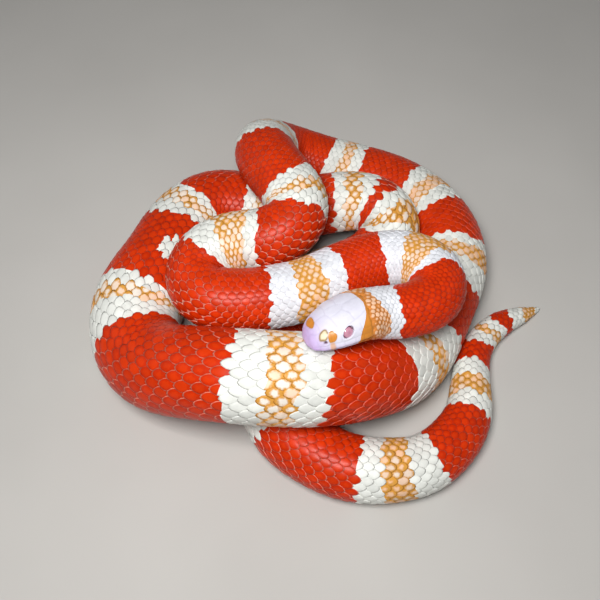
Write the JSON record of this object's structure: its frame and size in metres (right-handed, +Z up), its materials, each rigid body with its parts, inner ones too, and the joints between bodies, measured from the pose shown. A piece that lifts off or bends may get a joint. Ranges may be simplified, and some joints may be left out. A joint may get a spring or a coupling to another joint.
{
  "type": "milk snake",
  "caption": "Coiled red, white and orange banded snake at rest, life size, with its head laid on the top of the coil and its tail to one side.",
  "frame": {"origin": "on the floor, under the middle of the coil's bounding box", "axes": "+Z up, +X towards the side where the tip of the tail lies, and the snout points between -X and -Y"},
  "size_m": [0.1572, 0.1451, 0.054],
  "materials": {
    "banded_scales": "smooth glossy scales in red, white and orange bands",
    "head_plates": "smooth glossy head plates",
    "eye": "wet clear eye cap"
  },
  "bodies": {
    "root": {"tail_tip": "banded_scales", "tail_middle": "banded_scales", "tail_base": "banded_scales", "body_01": "banded_scales", "body_02": "banded_scales", "body_03": "banded_scales", "body_04": "banded_scales", "body_05": "banded_scales", "body_06": "banded_scales", "body_07": "banded_scales", "body_08": "banded_scales", "body_09": "banded_scales", "body_10": "banded_scales", "body_11": "banded_scales", "body_12": "banded_scales", "body_13": "banded_scales", "body_14": "banded_scales", "body_15": "banded_scales", "body_16": "banded_scales", "neck_rear": "banded_scales", "neck_front": "banded_scales", "head": "head_plates", "lower_jaw": "head_plates", "eye_left": "eye", "eye_right": "eye"}
  },
  "joints": []
}
